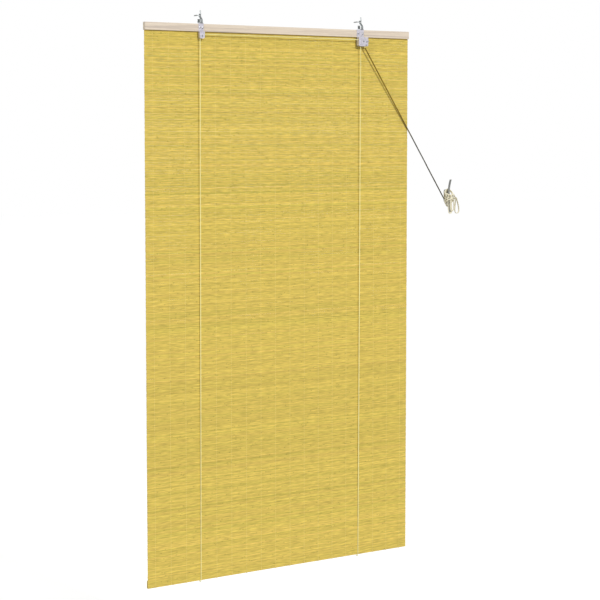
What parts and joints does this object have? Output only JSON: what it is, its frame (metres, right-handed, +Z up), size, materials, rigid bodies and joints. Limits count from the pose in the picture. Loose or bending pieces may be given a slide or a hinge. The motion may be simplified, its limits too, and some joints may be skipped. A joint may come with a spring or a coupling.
{
  "type": "bamboo roll up blind",
  "caption": "Bamboo reed blind clamped in a wooden headrail, hung on wall hooks and rolled up by cords over a pulley and a cord lock, with a wall cleat for the spare cord.",
  "frame": {"origin": "on the wall plane, midway between the two hooks, on the axis of their shanks", "axes": "+X to the right along the headrail, +Y into the wall, +Z up"},
  "size_m": [1.087, 0.0601, 1.6445],
  "materials": {
    "pale_wood": "sanded",
    "bamboo": "matte",
    "slat_wood": "matte",
    "warp_thread": "spun",
    "zinc_sheet": "zinc plated",
    "grey_steel": "dull plated",
    "bright_steel": "plated",
    "pulley_metal": "turned",
    "lift_cord": "braided",
    "pull_cord": "twisted",
    "cleat_grey": "satin"
  },
  "bodies": {
    "blind_frame": {"headrail_front": "pale_wood", "headrail_back": "pale_wood", "headrail_nails": "bright_steel", "bamboo_mat": "bamboo", "warp_threads": "warp_thread", "left_fitting": "zinc_sheet", "left_hanger": "grey_steel", "left_pulley_pin": "bright_steel", "left_fitting_screws": "bright_steel", "left_wall_hook": "grey_steel", "lock_housing": "zinc_sheet", "right_hanger": "grey_steel", "lock_pulley_pin": "bright_steel", "lock_pawl_pin": "bright_steel", "lock_guide_pin": "bright_steel", "lock_fitting_screws": "bright_steel", "right_wall_hook": "grey_steel", "hanger_screws": "bright_steel", "cord_staples": "bright_steel", "cord_knots": "lift_cord", "lift_cord_left": "lift_cord", "lift_cord_right": "lift_cord", "pull_cord": "pull_cord", "cord_hank": "pull_cord", "cleat": "cleat_grey"},
    "left_pulley": {"left_pulley": "pulley_metal"},
    "lock_pulley": {"lock_pulley": "pulley_metal"},
    "lock_pawl": {"lock_pawl": "pulley_metal"},
    "bottom_slat": {"bottom_slat": "slat_wood"}
  },
  "joints": [
    {"name": "lock_pulley_spin", "type": "hinge", "parent": "blind_frame", "child": "lock_pulley", "pos_m": [0.274, -0.0301, -0.0595], "axis": [0, 1, 0], "continuous": true},
    {"name": "left_pulley_spin", "type": "hinge", "parent": "blind_frame", "child": "left_pulley", "pos_m": [-0.274, -0.028, -0.0595], "axis": [0, 1, 0], "continuous": true},
    {"name": "lock_pawl_pivot", "type": "hinge", "parent": "blind_frame", "child": "lock_pawl", "pos_m": [0.2852, -0.0301, -0.0605], "axis": [0, -1, 0], "range_deg": [0, 30]},
    {"name": "blind_lift", "type": "slide", "parent": "blind_frame", "child": "bottom_slat", "axis": [0, 0, 1], "range_m": [0, 1.45], "deforming": ["bamboo_mat", "warp_threads", "lift_cord_left", "lift_cord_right"]}
  ],
  "couplings": [
    {"joint": "left_pulley_spin", "follows": "lock_pulley_spin", "ratio": 1}
  ]
}
